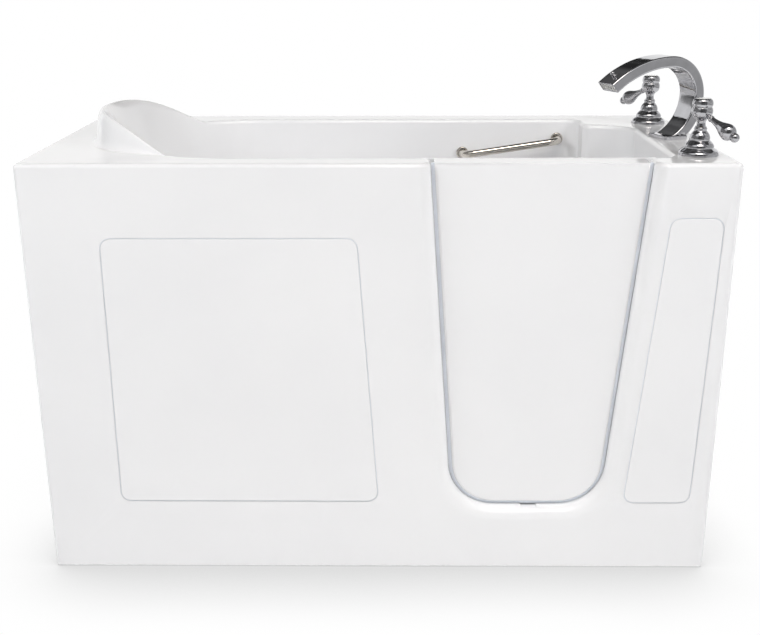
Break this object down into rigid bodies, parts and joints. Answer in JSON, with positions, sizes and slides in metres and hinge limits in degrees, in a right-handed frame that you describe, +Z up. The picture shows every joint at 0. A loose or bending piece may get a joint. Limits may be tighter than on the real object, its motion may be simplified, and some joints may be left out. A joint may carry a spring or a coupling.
{
  "type": "walk-in soaking bathtub",
  "caption": "White walk-in soaking tub with an inward-opening door, raised seat, headrest collar, deck taps with a curved spout, grab bar and a levelled steel frame.",
  "frame": {"origin": "on the floor, under the middle of the footprint", "axes": "+X towards the tap end, +Y from the door side to the back wall, +Z up"},
  "size_m": [1.524, 0.762, 1.1425],
  "materials": {
    "acrylic": "white high-gloss gel coat",
    "board": "sealed hardwood backing board",
    "seal": "soft pale silicone",
    "stainless": "brushed stainless steel",
    "polished_steel": "polished tube",
    "chrome": "polished chrome plate",
    "porcelain": "plain glazed button",
    "brass": "rough machined brass",
    "copper": "drawn copper tube",
    "nylon": "natural moulded nylon",
    "gasket_rubber": "black moulded rubber",
    "waste_plastic": "white moulded pipe",
    "frame_steel": "grey primed steel tube",
    "zinc": "zinc plated"
  },
  "bodies": {
    "tub": {"basin_shell": "acrylic", "front_apron": "acrylic", "left_access_panel": "acrylic", "right_access_panel": "acrylic", "hinge_brackets": "stainless", "hinge_pins": "stainless", "latch_keeper": "stainless", "grab_bar": "polished_steel", "grab_bar_flanges": "polished_steel", "cold_bell": "chrome", "hot_bell": "chrome", "spout": "chrome", "spout_base": "chrome", "drain_strainer": "chrome", "overflow_plate": "chrome", "cold_valve": "brass", "hot_valve": "brass", "deck_nuts": "brass", "spout_tee": "brass", "spout_shank": "brass", "cold_tube": "copper", "hot_tube": "copper", "panel_studs": "nylon", "spout_outlet": "nylon", "drain_gasket": "gasket_rubber", "overflow_gasket": "gasket_rubber", "foot_pads": "gasket_rubber", "drain_shoe": "waste_plastic", "waste_pipe": "waste_plastic", "waste_tee": "waste_plastic", "tailpiece": "waste_plastic", "overflow_pipe": "waste_plastic", "overflow_elbow": "waste_plastic", "front_base_rail": "frame_steel", "rear_base_rail": "frame_steel", "base_cross_rails": "frame_steel", "corner_posts": "frame_steel", "seat_posts": "frame_steel", "seat_bearers": "frame_steel", "foot_studs": "zinc", "foot_nuts": "zinc"},
    "door": {"door_outer_skin": "acrylic", "door_backing_boards": "board", "door_inner_leaf": "acrylic", "door_seal": "seal", "hinge_arms": "stainless", "latch_plate": "stainless", "latch_pivot": "stainless"},
    "latch": {"latch_lever": "stainless", "latch_tongue": "stainless"},
    "hot_handle": {"hot_hub": "chrome", "hot_lever": "chrome", "hot_cap": "porcelain", "hot_spindle": "brass"},
    "cold_handle": {"cold_hub": "chrome", "cold_lever": "chrome", "cold_cap": "porcelain", "cold_spindle": "brass"},
    "diverter": {"diverter_knob": "chrome"},
    "stopper": {"drain_stopper": "chrome"}
  },
  "joints": [
    {"name": "door_swing", "type": "hinge", "parent": "tub", "child": "door", "pos_m": [0.60809, -0.27, 0], "axis": [0, 0, -1], "range_deg": [0, 75]},
    {"name": "latch_turn", "type": "hinge", "parent": "door", "child": "latch", "pos_m": [0.16213, -0.281, 0.74], "axis": [0, -1, 0], "range_deg": [0, 90]},
    {"name": "hot_turn", "type": "hinge", "parent": "tub", "child": "hot_handle", "pos_m": [0.695, 0.23, 0.952], "axis": [0, 0, 1], "range_deg": [0, 90]},
    {"name": "cold_turn", "type": "hinge", "parent": "tub", "child": "cold_handle", "pos_m": [0.695, -0.266, 0.952], "axis": [0, 0, -1], "range_deg": [0, 90]},
    {"name": "diverter_lift", "type": "slide", "parent": "tub", "child": "diverter", "axis": [-0.5124, -0.207, 0.8334], "range_m": [0, 0.01]},
    {"name": "stopper_lift", "type": "slide", "parent": "tub", "child": "stopper", "axis": [0, 0, 1], "range_m": [0, 0.012]}
  ]
}
